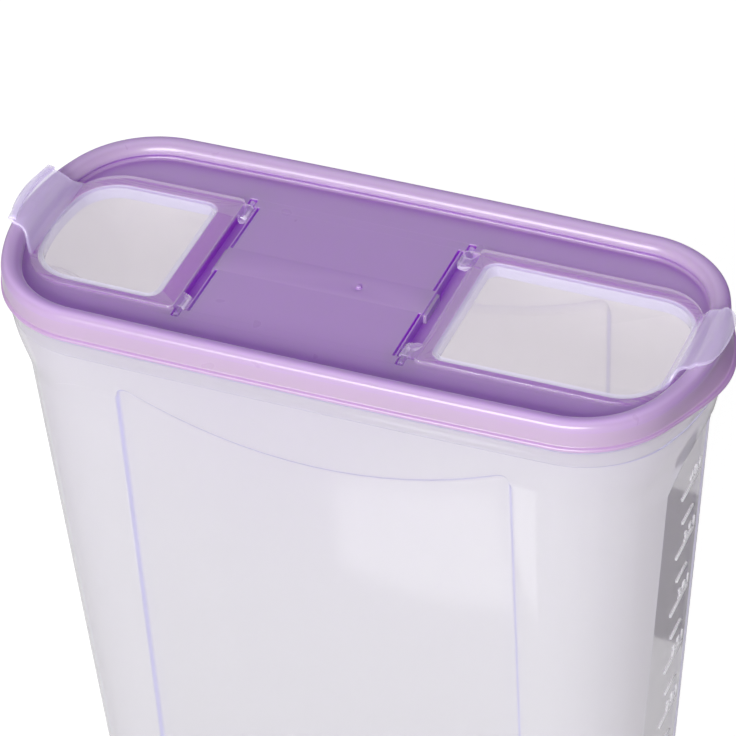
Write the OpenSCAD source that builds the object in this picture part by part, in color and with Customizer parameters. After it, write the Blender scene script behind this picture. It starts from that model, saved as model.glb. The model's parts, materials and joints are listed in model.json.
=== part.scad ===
// Oblong storage tub with a press-on lid and two pouring flaps that swing up on pins.
// Lengths are in millimetres. X runs along the tub, Y across it and Z up from the table.

/* [Lid] */
// Length of the lid over its skirt
lid_l = 243; // [225:1:270]
// Width of the lid over its skirt
lid_w = 104.5; // [98:1:120]
// Radius of the long sides, which bow out a little
side_r = 5000; // [1500:100:8000]
// Radius of the rounded ends
end_r = 75.5; // [70:0.5:110]
// Radius of the corners between sides and ends
corner_r = 35.8; // [30:0.1:37]
// Width of the raised rim, from the skirt to the deck
rim_w = 6.8; // [6.2:0.1:9]
// How far the deck lies below the crest of the rim
deck_drop = 6; // [5:0.5:9]
// Thickness of the deck
deck_t = 1.8; // [1.4:0.1:2.6]
// Thickness of the top of the rim, over the tub
crest_t = 1.8; // [1.4:0.1:2.6]
// Thickness of the skirt and of the inner wall
skirt_t = 1.6; // [1.2:0.1:2.2]
// Height of the skirt below the crest
skirt_h = 11; // [9:0.2:15]
// How far the skirt flares out at the two ends, for lifting
lip_out = 4; // [0:0.5:5]
// Depth of the inner wall that plugs the tub's mouth, below the crest
plug_h = 13.5; // [11:0.5:17]

/* [Tub] */
// Height of the tub, from the table to its rim
tub_h = 278; // [200:1:340]
// Length of the tub's body at its shoulder
body_l = 235; // [222:1:250]
// Width of the tub's body at its shoulder
body_w = 97.7; // [90:0.1:100]
// Radius of the body's ends at the shoulder
body_end_r = 61.6; // [56:0.1:66]
// Radius of the body's corners at the shoulder
body_corner_r = 33.5; // [28:0.5:35]
// Length of the base
base_l = 194; // [186:1:225]
// Width of the base
base_w = 76; // [70:1:90]
// Wall thickness
wall_t = 1.8; // [1.4:0.1:2.6]
// Floor thickness
floor_t = 2.2; // [1.6:0.1:3]
// Radius of the edge between wall and base
foot_r = 5; // [3:0.5:8]
// Height of the hollow under the base, inside the foot ring
foot_hollow = 1.2; // [0.6:0.1:1.5]
// Height of the band at the mouth, from the shoulder to the rim
band_h = 16.8; // [15:0.2:22]
// Distance over which the lid's shape fades into the body's
flare_h = 22; // [16:1:30]

/* [Panels] */
// How deep the side and end panels are sunk
panel_deep = 1.2; // [0.6:0.1:1.6]
// Width of each side panel at its top
panel_w = 137; // [110:1:142]
// Distance of the side panel's top corners below the rim
panel_drop = 26; // [22:1:40]
// Radius of the curve at the side panel's top, which dips in the middle
panel_arc_r = 152; // [140:1:300]
// Width of each end panel, which is flat
end_panel_w = 40; // [36:1:48]
// Distance of the end panel's top below the rim, at its middle
end_panel_drop = 27; // [22:1:40]
// How much the end panel's top falls away towards its edges
end_panel_fall = 18; // [8:1:24]
// Height of the panels' foot above the table
panel_foot = 16; // [10:1:40]

/* [Scale] */
// Number of long marks on the end panel
marks = 8; // [0:1:9]
// Distance of the top mark below the rim
mark_drop = 63.5; // [50:0.5:80]
// Height of the lowest long mark above the table
mark_low = 34; // [30:0.5:60]
// Length of the long marks, which have shorter ones between them
mark_l = 17.6; // [10:0.1:22]
// How far the marks stand out
mark_out = 0.4; // [0.2:0.1:0.8]

/* [Flaps] */
// Distance of the small flap's hinge from the middle of the lid
small_hinge_x = 52.2; // [40:0.1:60]
// Distance of the large flap's hinge from the middle of the lid
large_hinge_x = 25.7; // [20:0.1:40]
// Distance of the small flap's plate from its hinge
small_back = 1.6; // [1.6:0.1:4]
// Distance of the large flap's plate from its hinge
large_back = 3.8; // [1.6:0.1:4]
// Distance of the small pouring opening from its hinge
small_step = 9; // [7.4:0.1:14]
// Distance of the large pouring opening from its hinge
large_step = 7.4; // [7.4:0.1:14]
// Width of the flaps
flap_w = 61.8; // [50:0.2:68]
// Thickness of the flaps
flap_t = 1.4; // [1.2:0.1:2]
// Width of the pouring openings
pour_w = 53.8; // [42:0.2:60]
// Gap between the end of a flap and the rim
flap_gap = 1.7; // [0.8:0.1:2]
// Width of the ledge under the end of a flap
ledge_w = 2.3; // [1.8:0.1:4]
// Depth of the collar that seals the opening
collar_h = 4.5; // [3:0.5:6]
// Wall of the collar
collar_t = 1.4; // [1:0.1:2]
// Width of the lifting tab
tab_w = 31; // [20:1:40]
// How far the small flap's tab reaches past the lid's skirt
small_tab_out = -0.5; // [-2:0.5:6]
// How far the large flap's tab reaches past the lid's skirt
large_tab_out = 3.5; // [-2:0.5:8]
// Height of the tab over the crest of the rim
tab_rise = 4.6; // [2.5:0.1:6]

/* [Hinges] */
// Radius of the hinge pins
pin_r = 1.3; // [1.1:0.05:1.6]
// Length of each pin
pin_l = 3.2; // [2:0.1:4]
// Radius of the knuckle that carries each pin
knuckle_r = 2; // [1.9:0.1:2.2]
// Length of each knuckle
knuckle_l = 7; // [3:0.5:9]
// Distance of the knuckles' outer ends inside the flap's edges
knuckle_in = 2; // [1:0.1:4]
// Depth of the hinge line below the deck
hinge_sink = 1; // [0.8:0.1:1.2]
// Wall of the groove and of its bearings
groove_t = 1.4; // [1:0.1:2]
// Thin wall between the groove and the slits beside it
slit_wall = 0.6; // [0.5:0.1:1]
// Width of the slits
slit_w = 0.8; // [0.6:0.1:1.2]
// Solid stretch between the two slits, with a rib below it
slit_gap = 12.6; // [8:0.1:20]
// Thickness of the bearing at each end of the groove
bearing_l = 3.6; // [3:0.1:5]

/* [Clearances] */
// Gap between the tub's rim and the lid, and between a collar and its opening
play = 0.3; // [0.2:0.05:0.5]
// Radial clearance of a pin in its bearing
pin_play = 0.06; // [0.02:0.01:0.1]

/* [Hidden] */
$fn = 48;
eps = 0.01;

crest_z = tub_h + crest_t;
deck_z = crest_z - deck_drop;
hinge_z = deck_z - hinge_sink;
shoulder_z = tub_h - band_h;
flap_end = lid_l / 2 - rim_w - flap_gap;
pour_end = flap_end - ledge_w;
rim_gap = skirt_t + play;
rim_in = rim_w - skirt_t - play;
round_out = 3;
round_in = 2.5;
bead = 0.6;
bead_h = 1.6;
lip_span = 31;
edge_half = 0.9;

// ---- Ovals: [half length, half width, side radius, end radius, corner radius] ----

lid_oval = [lid_l / 2, lid_w / 2, side_r, end_r, corner_r];
neck_oval = inset(lid_oval, rim_gap);

function inset(o, d) = [for (v = o) v - d];
function mix(a, b, t) = a + (b - a) * t;
function ramp(t) = let (c = min(1, max(0, t))) c * c * (3 - 2 * c);

// Centre of the corner circle, which touches the side's circle and the end's circle
function corner_centre(o) =
    let (side = [0, o[1] - o[2]], tip = [o[0] - o[3], 0],
         r_side = o[2] - o[4], r_tip = o[3] - o[4],
         d = norm(tip - side), u = (tip - side) / d,
         along = (d * d + r_side * r_side - r_tip * r_tip) / (2 * d),
         across = sqrt(max(0, r_side * r_side - along * along)))
    side + u * along + [u[1], -u[0]] * across;

// One quarter of an oval from the middle of its side to its end, as [x, y, normal x, normal y].
// xs are the points wanted along the side and ys those wanted along the end.
function quarter(o, xs, ys, steps = 7) =
    let (c = corner_centre(o), side_y = o[1] - o[2], tip_x = o[0] - o[3],
         from = atan2(c[1] - side_y, c[0]), to = atan2(c[1], c[0] - tip_x))
    concat(
        [for (x = xs) let (y = side_y + sqrt(o[2] * o[2] - x * x)) [x, y, x / o[2], (y - side_y) / o[2]]],
        [for (i = [0:steps]) let (t = mix(from, to, i / steps))
            [c[0] + o[4] * cos(t), c[1] + o[4] * sin(t), cos(t), sin(t)]],
        [for (y = ys) let (x = tip_x + sqrt(o[3] * o[3] - y * y)) [x, y, (x - tip_x) / o[3], y / o[3]]]);

// A whole ring of points from one quarter, clockwise seen from above
function ring(q) =
    let (n = len(q) - 1)
    concat([for (i = [0:n - 1]) q[i]],
           [for (i = [n:-1:1]) [q[i][0], -q[i][1], q[i][2]]],
           [for (i = [0:n - 1]) [-q[i][0], -q[i][1], q[i][2]]],
           [for (i = [n:-1:1]) [-q[i][0], q[i][1], q[i][2]]]);

function plain_quarter(o) =
    let (c = corner_centre(o), tip_y = o[3] * sin(atan2(c[1], c[0] - (o[0] - o[3]))))
    quarter(o, [for (f = [0, 0.2, 0.4, 0.6, 0.8]) f * c[0]], [for (f = [0.66, 0.33, 0]) f * tip_y]);

// Faces between neighbouring rings of n points, with the last ring joined to the first when closed
function skin(n, m, closed) =
    [for (i = [0:m - (closed ? 1 : 2)], j = [0:n - 1])
        let (a = i * n, b = ((i + 1) % m) * n, k = (j + 1) % n)
        each [[a + j, a + k, b + k], [a + j, b + k, b + j]]];

// ---- Tub ----

taper_l = (body_l - base_l) / 2 / shoulder_z;
taper_w = (body_w - base_w) / 2 / shoulder_z;

// Outline of the body at height z: it tapers down, and takes the lid's rounder corners at the shoulder
function body_oval(z) =
    let (d = shoulder_z - z, w = ramp(1 - d / flare_h), s = 1 - d / shoulder_z,
         plain_end = mix(body_end_r * base_w / body_w, body_end_r, s),
         plain_corner = mix(body_corner_r * base_w / body_w, body_corner_r, s))
    [mix(body_l / 2 - taper_l * d, neck_oval[0], w),
     body_w / 2 - taper_w * d,
     side_r,
     mix(plain_end, neck_oval[3], w),
     mix(plain_corner, neck_oval[4], w)];

// The points of one quarter of the tub at height z. Those next to the panels' edges are kept
// a fixed distance apart, so that each edge is a crisp step.
side_n = 5;
corner_n = 7;
function tub_quarter(o, z) =
    let (half = panel_w / 2 * mix(0.96, 1, z / tub_h), half_end = end_panel_w / 2)
    quarter(o,
        concat([for (i = [0:side_n - 1]) half * i / side_n], [half - edge_half, half + edge_half]),
        [half_end + edge_half, half_end - edge_half, half_end / 2, 0], corner_n);
last_side = side_n;
first_end = side_n + 2 + corner_n + 2;
quarter_n = first_end + 3;

// 1 in the side panel's and the end panel's points, 0 in the rest
function in_panel(i) = i <= last_side || i >= first_end ? 1 : 0;

// Height of the panels' upper edge at the i-th point
function panel_top(i) =
    let (x = i < side_n ? panel_w / 2 * i / side_n : panel_w / 2,
         side_top = tub_h - panel_drop - sqrt(panel_arc_r * panel_arc_r - x * x)
                    + sqrt(panel_arc_r * panel_arc_r - panel_w * panel_w / 4),
         end_low = tub_h - end_panel_drop - end_panel_fall,
         k = i - first_end)
    i <= last_side + 1 ? side_top
    : k >= -1 ? mix(end_low, end_low + end_panel_fall, k <= 0 ? 0 : k == 1 ? 0.75 : 1)
    : mix(side_top, end_low, (i - last_side - 1) / (first_end - last_side - 2));

// One row of the tub. It is level at z where bend is 0, and lies z above the panels' upper edge where bend is 1.
function row(bend, z, in, sunk, neck = false) =
    ring([for (i = [0:quarter_n - 1])
        let (h = bend == 0 ? z : bend == 1 ? panel_top(i) + z : mix(z, panel_top(i), bend),
             q = tub_quarter(neck ? neck_oval : body_oval(h), h),
             p = q[i],
             d = in + sunk * panel_deep * in_panel(i),
             flat = i < first_end ? 0 : sunk * (p[0] - q[first_end][0]))
        [p[0] - p[2] * d - flat, p[1] - p[3] * d, h]]);

panel_rows = 4;
rim_round = 0.8;
rim_t = rim_in - rim_gap - play;
low_edge = panel_foot - edge_half * 2;
panel_body_top = tub_h - panel_drop - end_panel_fall - 24;
flare_top = shoulder_z - 2;
floor_z = foot_hollow + floor_t;
function panel_z(i) = mix(panel_foot, panel_body_top, i / panel_rows);

// Rows of the wall between its foot and its shoulder, going up, with the outside at in = 0
function wall_rows(in) = concat(
    [row(0, low_edge, in, 0)],
    [for (i = [0:panel_rows]) row(0, panel_z(i), in, 1)],
    [row(0.5, panel_body_top, in, 1),
     row(0.8, panel_body_top, in, 1),
     row(1, -edge_half, in, 1),
     row(1, edge_half, in, 0)],
    [for (bend = [0.75, 0.5, 0.25]) row(bend, flare_top, in, 0)],
    [row(0, flare_top, in, 0)]);

function backwards(l) = [for (i = [len(l) - 1:-1:0]) l[i]];

tub_rows = concat(
    [row(0, foot_hollow, foot_r + 5, 0),
     row(0, 0, foot_r + 3.5, 0),
     row(0, 0, foot_r, 0),
     row(0, foot_r * 0.3, foot_r * 0.3, 0),
     row(0, foot_r, 0, 0)],
    wall_rows(0),
    [row(0, shoulder_z - 0.6, 0, 0),
     row(0, shoulder_z, 0, 0, true),
     row(0, tub_h - rim_round, 0, 0, true),
     row(0, tub_h, rim_round, 0, true),
     row(0, tub_h, rim_t - rim_round, 0, true),
     row(0, tub_h - rim_round, rim_t, 0, true),
     row(0, shoulder_z - 0.6, rim_t, 0, true)],
    backwards(wall_rows(wall_t)),
    [row(0, floor_z + foot_r * 0.8, wall_t, 0),
     row(0, floor_z + foot_r * 0.2, wall_t + foot_r * 0.3, 0),
     row(0, floor_z, wall_t + foot_r * 0.8, 0)]);

module tub_shell() {
    n = len(tub_rows[0]);
    m = len(tub_rows);
    polyhedron(
        points = [for (r = tub_rows, p = r) p],
        faces = concat([[for (j = [n - 1:-1:0]) j]], skin(n, m, false), [[for (j = [0:n - 1]) (m - 1) * n + j]]));
}

// A raised line of length l on the flat of the end panel, at height z
mark_y = 7.5;
mark_t = 0.9;
module mark(z, l) {
    edge = tub_quarter(body_oval(z), z)[first_end];
    translate([edge[0] - edge[2] * panel_deep - wall_t / 2, mark_y - l / 2, z])
        cube([wall_t / 2 + mark_out, l, mark_t]);
}

mark_step = (tub_h - mark_drop - mark_low) / max(1, marks - 1);
module tub() {
    color([0.88, 0.88, 0.91, 0.55])
        union() {
            tub_shell();
            for (i = [0:1:marks - 1])
                mark(tub_h - mark_drop - i * mark_step, mark_l);
            for (i = [0:1:marks - 2])
                mark(tub_h - mark_drop - (i + 0.5) * mark_step, mark_l * 0.6);
        }
}

// ---- Flap outline ----

function arc(c, r, from, to, steps) =
    [for (i = [0:steps]) let (t = mix(from, to, i / steps)) c + r * [cos(t), sin(t)]];

// A plate from x0 to x1, hw to each side, with an end of radius re and corners rc, and corners r0 at x0
function d_shape(x0, x1, hw, re, rc, r0, in = 0) =
    let (x = x0 + in, r = max(0.4, r0 - in),
         o = inset([x1, hw, 20000, re, rc], in), c = corner_centre(o),
         tip = [o[0] - o[3], 0], to = atan2(c[1], c[0] - tip[0]))
    concat(arc([x + r, o[1] - r], r, 180, 90, 6),
           arc(c, o[4], 90, to, 8),
           arc(tip, o[3], to, -to, 10),
           arc([c[0], -c[1]], o[4], -to, -90, 8),
           arc([x + r, r - o[1]], r, -90, -180, 6));

// Each flap: [distance of its hinge, distance of its plate, distance of its opening, end of its tab].
// The second and third are measured from the hinge.
small = [small_hinge_x, small_back, small_step, lid_l / 2 + small_tab_out];
large = [large_hinge_x, large_back, large_step, lid_l / 2 + large_tab_out];

plate_end_r = end_r - rim_w - flap_gap;
plate_corner_r = 18;
pour_corner_r = 5;
function pour_shape(f, in) =
    d_shape(f[0] + f[2], pour_end, pour_w / 2, plate_end_r - ledge_w, plate_corner_r - ledge_w, pour_corner_r, in);

// ---- Lid ----

// Extra reach of the skirt at height z, for a point at y on the lid's edge: only the ends flare
function lip(y, z) =
    let (t = (crest_z - 4 - z) / (skirt_h - 4))
    lip_out * min(1, max(0, t)) * ramp(1 - abs(y) / lip_span);

// Rim, skirt and inner wall in section: [distance in from the skirt, height, share of the flare]
rim_profile = concat(
    [[skirt_t, crest_z - skirt_h, 1], [-bead, crest_z - skirt_h, 1], [-bead, crest_z - skirt_h + bead_h, 1],
     [0, crest_z - skirt_h + bead_h + bead, 1], [0, crest_z - 4, 1]],
    [for (t = [0:18:90]) [round_out * (1 - cos(t)), crest_z - round_out * (1 - sin(t)), 0]],
    [for (t = [0:18:90]) [rim_w - round_in * (1 - sin(t)), crest_z - round_in * (1 - cos(t)), 0]],
    [[rim_w, crest_z - plug_h + 1, 0], [rim_w - 0.5, crest_z - plug_h, 0],
     [rim_w - skirt_t + 0.4, crest_z - plug_h, 0], [rim_w - skirt_t, crest_z - plug_h + 2, 0],
     [rim_w - skirt_t, tub_h, 0], [skirt_t, tub_h, 0], [skirt_t, crest_z - 4, 1]]);

module rim_ring() {
    q = plain_quarter(lid_oval);
    rings = [for (s = rim_profile)
        ring([for (p = q)
            let (d = s[0] - s[2] * (p[0] > 0 ? lip(p[1], s[1]) : 0))
            [p[0] - p[2] * d, p[1] - p[3] * d, s[1]]])];
    polyhedron(points = [for (r = rings, p = r) p], faces = skin(len(rings[0]), len(rings), true));
}

module flat_oval(in, z, h) {
    translate([0, 0, z])
        linear_extrude(h)
            polygon([for (p = ring([for (p = plain_quarter(inset(lid_oval, in))) [p[0], p[1], 0]])) [p[0], p[1]]]);
}

knuckle_end = flap_w / 2 - knuckle_in;
groove_l = 2 * (knuckle_end + play);
groove_in = knuckle_r + play;
groove_deep = hinge_sink + knuckle_r + 0.8;
function groove_out(f) = max(f[1], knuckle_r) + play + 0.1;

// The trough that a flap's knuckles lie in, with a bearing block at each end
module groove_block(f) {
    l = groove_l + 2 * bearing_l;
    translate([f[0] - groove_in - slit_wall, -l / 2, deck_z - groove_deep - groove_t])
        cube([groove_in + slit_wall + groove_out(f) + groove_t, l, groove_deep + groove_t - eps]);
}

module groove_cuts(f) {
    translate([f[0] - groove_in, -groove_l / 2, deck_z - groove_deep])
        cube([groove_in + groove_out(f), groove_l, groove_deep + 1]);
    for (side = [-1, 1]) {
        // Bore for the pin, with a slot above it that is narrower than the pin
        translate([f[0], side * (groove_l / 2 + bearing_l / 2), hinge_z]) {
            rotate([90, 0, 0])
                cylinder(r = pin_r + pin_play, h = bearing_l + 1, center = true);
            translate([-pin_r * 0.75, -bearing_l / 2 - 0.5, 0])
                cube([pin_r * 1.5, bearing_l + 1, hinge_sink + 1]);
        }
        // Slit through the deck, on the side away from the flap
        translate([f[0] - groove_in - slit_wall - slit_w / 2, side * (slit_gap + groove_l) / 4, deck_z - deck_t / 2])
            cube([slit_w, (groove_l - slit_gap) / 2, deck_t + 1], center = true);
    }
}

rib_t = 1.2;
rib_drop = 0.8;
// Rib between the slits, along the foot of the groove's wall
module groove_rib(f) {
    translate([f[0] - groove_in - eps, -slit_gap / 2, deck_z - groove_deep - eps])
        cube([rib_t, slit_gap, groove_deep - rib_drop]);
}

gate_r = 1.6;
gate_h = 0.5;

// All that is cut from the deck for one flap
module opening(f) {
    groove_cuts(f);
    translate([0, 0, deck_z - deck_t - 1])
        linear_extrude(deck_t + 2)
            polygon(pour_shape(f, 0));
}

// The first child turned round to the small flap's end, and the second as it is
module for_both() {
    mirror([1, 0, 0])
        children(0);
    children(1);
}

module lid() {
    color([0.66, 0.5, 0.78])
        union() {
            rim_ring();
            difference() {
                union() {
                    flat_oval(rim_w - skirt_t / 2, deck_z - deck_t, deck_t);
                    for_both() {
                        groove_block(small);
                        groove_block(large);
                    }
                    translate([0, 0, deck_z - eps])
                        cylinder(r1 = gate_r, r2 = gate_r * 0.6, h = gate_h);
                }
                for_both() {
                    opening(small);
                    opening(large);
                }
            }
            for_both() {
                groove_rib(small);
                groove_rib(large);
            }
        }
}

// ---- Flaps ----

// Middle line of the lifting tab: [x, height above the crest], out from the plate and over the rim.
// The rim curves in towards the tab's corners by rim_back, so the tab rises that much sooner.
tab_foot = flap_t / 2 - deck_drop;
rim_back = (end_r - rim_w) - sqrt(pow(end_r - rim_w, 2) - tab_w * tab_w / 4);
inner_x = lid_l / 2 - rim_w - rim_back;
function tab_line(f) = [
    [inner_x - 12, tab_foot], [inner_x - 5.4, tab_foot], [inner_x - 3.1, tab_foot + 0.9],
    [inner_x - 1.7, tab_foot + 2.8], [inner_x - 0.7, -0.3], [inner_x + 0.9, tab_rise * 0.45],
    [inner_x + 3.3, tab_rise * 0.8], [inner_x + rim_w, tab_rise * 0.96], [f[3], tab_rise]];

function unit(v) = v / norm(v);
function side_step(l, i, d) =
    let (t = unit(l[min(i + 1, len(l) - 1)] - l[max(i - 1, 0)])) l[i] + d * [-t[1], t[0]];
function band(l, t) = concat([for (i = [0:len(l) - 1]) side_step(l, i, t / 2)],
                             [for (i = [len(l) - 1:-1:0]) side_step(l, i, -t / 2)]);

tab_end_r = 45;
tab_corner_r = 5;
module tab(f) {
    translate([0, 0, crest_z])
        intersection() {
            rotate([90, 0, 0])
                linear_extrude(tab_w, center = true)
                    polygon(band(tab_line(f), flap_t));
            translate([0, 0, -deck_drop - 2])
                linear_extrude(deck_drop + tab_rise + 6)
                    polygon(d_shape(inner_x - 14, f[3], tab_w / 2, tab_end_r, tab_corner_r, 1));
        }
}

// Knuckle on one side of a flap, with the arm that joins it to the plate, and its pin
module knuckle(f, side) {
    arm_x = f[1] + play;
    translate([f[0], side * (knuckle_end - knuckle_l / 2), hinge_z])
        rotate([90, 0, 0]) {
            cylinder(r = knuckle_r, h = knuckle_l, center = true);
            linear_extrude(knuckle_l, center = true)
                polygon([[0, knuckle_r], [arm_x, knuckle_r], [arm_x, hinge_sink], [0, -knuckle_r]]);
        }
    translate([f[0], side * (knuckle_end + pin_l / 2 - 0.5), hinge_z])
        rotate([90, 0, 0])
            cylinder(r = pin_r, h = pin_l + 1, center = true);
}

// A flap, reaching towards +X
module flap(f) {
    difference() {
        union() {
            translate([0, 0, deck_z])
                linear_extrude(flap_t)
                    polygon(d_shape(f[0] + f[1], flap_end, flap_w / 2, plate_end_r, plate_corner_r, 2));
            translate([0, 0, deck_z - collar_h])
                linear_extrude(collar_h + eps)
                    polygon(pour_shape(f, play));
            tab(f);
            for (side = [-1, 1])
                knuckle(f, side);
        }
        translate([0, 0, deck_z - collar_h - 1])
            linear_extrude(collar_h + 1)
                polygon(pour_shape(f, play + collar_t));
    }
}

module small_flap() {
    color([0.87, 0.85, 0.9])
        mirror([1, 0, 0])
            flap(small);
}

module large_flap() {
    color([0.87, 0.85, 0.9])
        flap(large);
}

tub();
lid();
small_flap();
large_flap();
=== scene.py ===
"""Looks of the oblong storage tub with its press-on lid and two pouring flaps. Lengths are in metres.

The four moulded pieces are rebuilt round the frame with the roundings that the moulded ones have.
"""

import json
import math

import bmesh
import bpy
import numpy as np
from mathutils import Matrix, Vector
from mathutils.geometry import tessellate_polygon


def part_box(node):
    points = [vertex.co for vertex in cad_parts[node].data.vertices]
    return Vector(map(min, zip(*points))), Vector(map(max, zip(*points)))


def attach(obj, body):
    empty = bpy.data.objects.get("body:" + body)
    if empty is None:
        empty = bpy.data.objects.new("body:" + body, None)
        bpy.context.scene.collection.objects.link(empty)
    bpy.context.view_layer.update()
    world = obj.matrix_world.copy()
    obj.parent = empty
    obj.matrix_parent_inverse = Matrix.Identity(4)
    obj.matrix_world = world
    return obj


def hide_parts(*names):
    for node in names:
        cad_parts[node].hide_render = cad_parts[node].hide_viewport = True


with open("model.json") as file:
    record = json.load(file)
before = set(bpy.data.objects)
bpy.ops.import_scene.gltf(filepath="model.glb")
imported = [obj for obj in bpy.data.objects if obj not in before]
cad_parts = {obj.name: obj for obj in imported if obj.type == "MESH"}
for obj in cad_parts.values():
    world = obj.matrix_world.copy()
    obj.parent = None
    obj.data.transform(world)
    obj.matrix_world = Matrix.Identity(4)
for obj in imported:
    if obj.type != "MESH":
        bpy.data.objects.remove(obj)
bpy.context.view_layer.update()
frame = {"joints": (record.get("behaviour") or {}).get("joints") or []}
joints = {j["name"]: j for j in frame["joints"]}
_, tub_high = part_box("tub")
lid_low, lid_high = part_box("lid")

# ---- Sizes ----

# Lid: distances in from the skirt and down from the crest of the rim
SIDE_R = 5.0
END_R = 0.0755
CORNER_R = 0.0358
RIM_W = 0.0068
DECK_DROP = 0.006
DECK_T = 0.0018
CREST_T = 0.0018
SKIRT_T = 0.0016
SKIRT_H = 0.011
LIP_OUT = 0.004
LIP_SPAN = 0.031
FLARE_DROP = 0.004
BEAD = 0.0006
BEAD_H = 0.0016
BEAD_R = 0.0008
BEAD_MID = 0.0009
BEAD_IN = 0.0002
BEAD_NECK = (0.0005, 0.0004)
PLUG_H = 0.0135
ROUND_OUT = 0.0026
ROUND_IN = 0.0040
RIM_FILLET = 0.0012
DECK_RING = 0.0006
EDGE_R = 0.0003
PLAY = 0.0003

CREST_Z = lid_high.z
TUB_H = tub_high.z
DECK_Z = CREST_Z - DECK_DROP
LID_L = lid_high.x - lid_low.x - 2 * (LIP_OUT + BEAD)
LID_W = lid_high.y - lid_low.y - 2 * BEAD

# Tub
BODY_L = 0.235
BODY_W = 0.0977
BODY_END_R = 0.0616
BODY_CORNER_R = 0.0335
BASE_L = 0.194
BASE_W = 0.076
WALL_T = 0.0018
FLOOR_T = 0.0022
FOOT_R = 0.005
FOOT_HOLLOW = 0.0012
HOLLOW_ROWS = [(0.005, 1), (0.0042, 0.5), (0.0034, 0)]
FLOOR_R = 0.004
MOUTH_T = 0.0025
MOUTH_R = 0.0008
MOUTH_LOW = 0.0009
BAND_H = 0.0168
FLARE_H = 0.022
PANEL_DEEP = 0.0012
PANEL_W = 0.137
PANEL_DROP = 0.026
PANEL_ARC_R = 0.152
PANEL_CORNER_R = 0.005
END_PANEL_W = 0.040
END_PANEL_DROP = 0.027
END_PANEL_FALL = 0.018
PANEL_FOOT = 0.016
PANEL_NARROW = 0.96
ARCH_POWER = 1.7
EDGE_HALF = 0.0009
SHOULDER_Z = TUB_H - BAND_H
STEP_Z = SHOULDER_Z - 0.0006
UNDER_SKIRT_Z = CREST_Z - SKIRT_H - 0.0018

# Scale on the end panel
MARKS = 8
MARK_DROP = 0.0635
MARK_LOW = 0.034
MARK_OUT = 0.0004
MARK_H = 0.0009
MARK_SINK = 0.0003
MARK_EDGE = 0.0001
MARK_BEVEL = 0.00012
MARK_Y = 0.0075
MARK_LONG = 0.0175
MARK_SHORT = 0.0106
FIGURE_H = 0.0044
FIGURE_UP = 0.0008
FIGURE_DEEP = 0.00025
FIGURE_BEVEL = 0.00006
FONT_RATIO = 1.38

# Flaps: (hinge, plate from the hinge, opening from the hinge), counted out from the middle of the lid
SMALL = (-joints["small_flap_hinge"]["pos_m"][0], 0.0016, 0.0090)
LARGE = (joints["large_flap_hinge"]["pos_m"][0], 0.0038, 0.0074)
HINGE_Z = joints["large_flap_hinge"]["pos_m"][2]
FLAP_W = 0.0618
FLAP_T = 0.0014
STRAIGHT_R = 20.0
POUR_W = 0.0538
FLAP_END = LID_L / 2 - RIM_W - 0.0017
PLATE_TOP_R = 0.0005
PLATE_LOW_R = 0.0002
PLATE_BACK_R = 0.002
LEDGE_W = 0.0023
COLLAR_H = 0.0045
COLLAR_T = 0.0014
PLATE_END_R = END_R - RIM_W - 0.0017
PLATE_CORNER_R = 0.018
POUR_CORNER_R = 0.005
TAB_W = 0.031
SMALL_TAB_OUT = -0.0005
LARGE_TAB_OUT = 0.0035
TAB_RISE = 0.0046
TAB_FLARE = 0.0065
TAB_END_R = 0.045
TAB_CORNER_R = 0.005
TAB_BOW = 0.009
TAB_FLARE_POWER = 2.2
TAB_ROOT_ROWS = 8
TAB_ROOT_THIN = 0.9
TAB_OVER = 0.0006

# Hinges
PIN_R = 0.0012
PIN_L = 0.0032
KNUCKLE_R = 0.002
KNUCKLE_L = 0.007
KNUCKLE_END = FLAP_W / 2 - 0.002
ARM_OVERLAP = 0.0006
ARM_RISE = 0.72
KNUCKLE_ROWS = [(0, 0.0008), (0.00025, 0.0004), (0.0007, 0.0001), (0.0012, 0), (KNUCKLE_L - 0.0005, 0),
                (KNUCKLE_L, 0.0003)]
PIN_ROWS = [(-0.001, PIN_R), (PIN_L - 0.0003, PIN_R), (PIN_L - 0.0001, PIN_R - 0.0001),
            (PIN_L, PIN_R - 0.0003)]
GROOVE_IN = KNUCKLE_R + PLAY
GROOVE_L = 2 * (KNUCKLE_END + PLAY)
GROOVE_DEEP = DECK_Z - HINGE_Z + KNUCKLE_R + 0.0008
GROOVE_T = 0.0014
SLOT_W = 0.0027
SLOT_L = 0.0040
SLIT_WALL = 0.0006
SLIT_W = 0.0008
SLIT_GAP = 0.0126
GROOVE_R = 0.0005
RIB_T = 0.0012
RIB_DROP = 0.0008
RIB_R = 0.0004
HAIR = 0.0001
TINY = 1e-6


# ---- Ovals: (half length, half width, side radius, end radius, corner radius) ----


def mix(a, b, t):
    return a + (b - a) * t


def ramp(t):
    c = min(1.0, max(0.0, t))
    return c * c * (3 - 2 * c)


def inset(oval, d):
    return tuple(v - d for v in oval)


LID_OVAL = (LID_L / 2, LID_W / 2, SIDE_R, END_R, CORNER_R)
NECK_OVAL = inset(LID_OVAL, SKIRT_T + PLAY)


def corner_centre(oval):
    """Centre of the corner circle, which touches the side's circle and the end's circle."""
    side, tip = np.array([0, oval[1] - oval[2]]), np.array([oval[0] - oval[3], 0])
    r_side, r_tip = oval[2] - oval[4], oval[3] - oval[4]
    d = np.linalg.norm(tip - side)
    u = (tip - side) / d
    along = (d * d + r_side**2 - r_tip**2) / (2 * d)
    across = math.sqrt(max(0.0, r_side**2 - along**2))
    return side + u * along + np.array([u[1], -u[0]]) * across


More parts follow.
